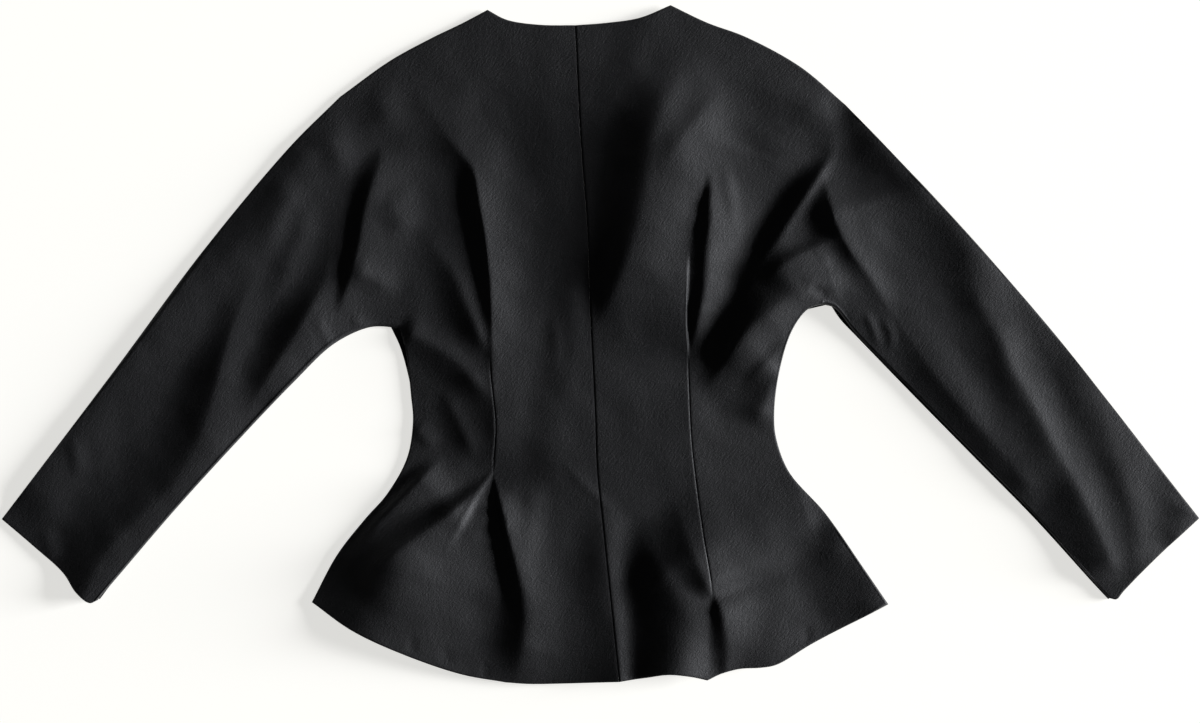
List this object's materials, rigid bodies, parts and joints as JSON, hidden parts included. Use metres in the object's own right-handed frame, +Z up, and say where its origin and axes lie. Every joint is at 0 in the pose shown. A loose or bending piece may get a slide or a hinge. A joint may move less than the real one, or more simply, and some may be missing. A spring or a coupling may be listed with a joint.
{
  "type": "single-button jacket laid flat",
  "caption": "Collarless black jacket with kimono sleeves, waist tucks and a flared skirt, laid flat face down with its back upwards.",
  "frame": {"origin": "middle of the laid-out jacket, on the surface that it lies on", "axes": "+X along the span of the sleeves towards the wearer's right cuff, +Y towards the neck, +Z up off the surface"},
  "size_m": [1.1964, 0.6782, 0.0267],
  "materials": {
    "cloth": "smooth satin-backed wool crepe, black",
    "button": "plain black, satin"
  },
  "bodies": {
    "root": {"back_left": "cloth", "back_right": "cloth", "front_left": "cloth", "front_right": "cloth", "button": "button"}
  },
  "joints": []
}
